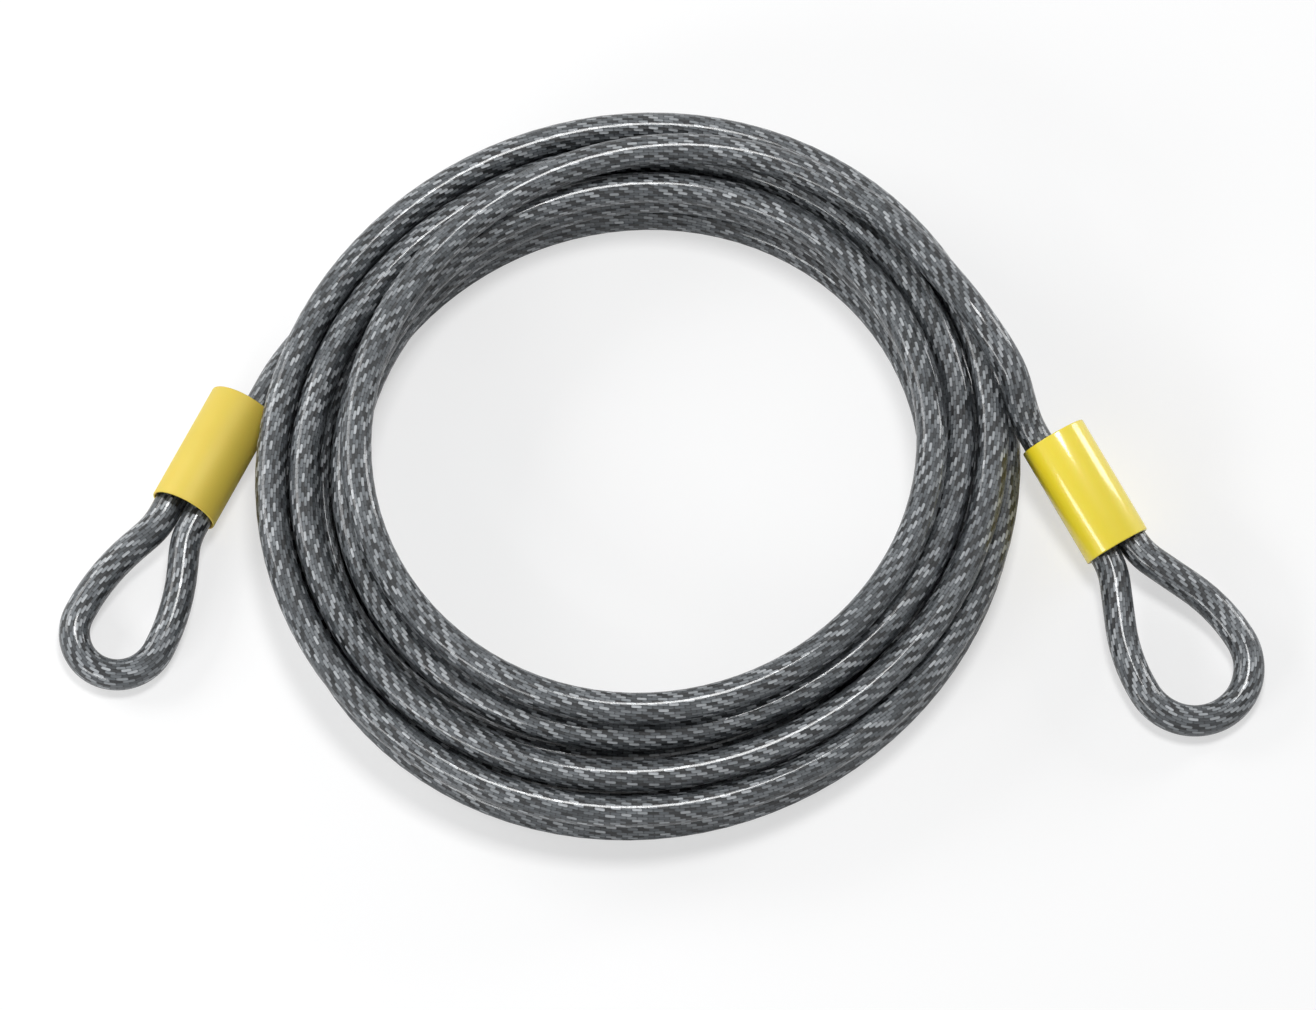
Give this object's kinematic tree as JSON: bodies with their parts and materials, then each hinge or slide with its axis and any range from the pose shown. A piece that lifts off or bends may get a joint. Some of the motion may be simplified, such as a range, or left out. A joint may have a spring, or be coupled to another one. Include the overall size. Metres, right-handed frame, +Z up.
{
  "type": "cable lock",
  "caption": "Coiled braided-steel security cable in a clear vinyl jacket, with a crimped loop and a yellow sleeve at each end, to be closed by a separate lock.",
  "frame": {"origin": "on the floor, under the middle of the whole lock's box", "axes": "+X towards the right-hand sleeve and eye, -Y towards the side that the two eyes point to, +Z up; the coil lies flat on z = 0"},
  "size_m": [0.3842, 0.2458, 0.0463],
  "materials": {
    "vinyl": "clear, faintly smoke-grey vinyl, smooth and glossy, with the braid showing through",
    "braid": "galvanised steel wire braided over a steel core, blue-grey with dark gaps between the strands",
    "crimp": "bright aluminium, pressed in bands",
    "sleeve_left": "satin yellow plastic",
    "sleeve_right": "glossy yellow plastic"
  },
  "bodies": {
    "root": {"coil_jacket": "vinyl", "coil_rope": "braid", "left_lead_jacket": "vinyl", "left_lead_rope": "braid", "right_lead_jacket": "vinyl", "right_lead_rope": "braid", "left_eye_jacket": "vinyl", "left_eye_rope": "braid", "right_eye_jacket": "vinyl", "right_eye_rope": "braid", "left_ferrule": "crimp", "right_ferrule": "crimp", "left_sleeve": "sleeve_left", "right_sleeve": "sleeve_right"}
  },
  "joints": []
}
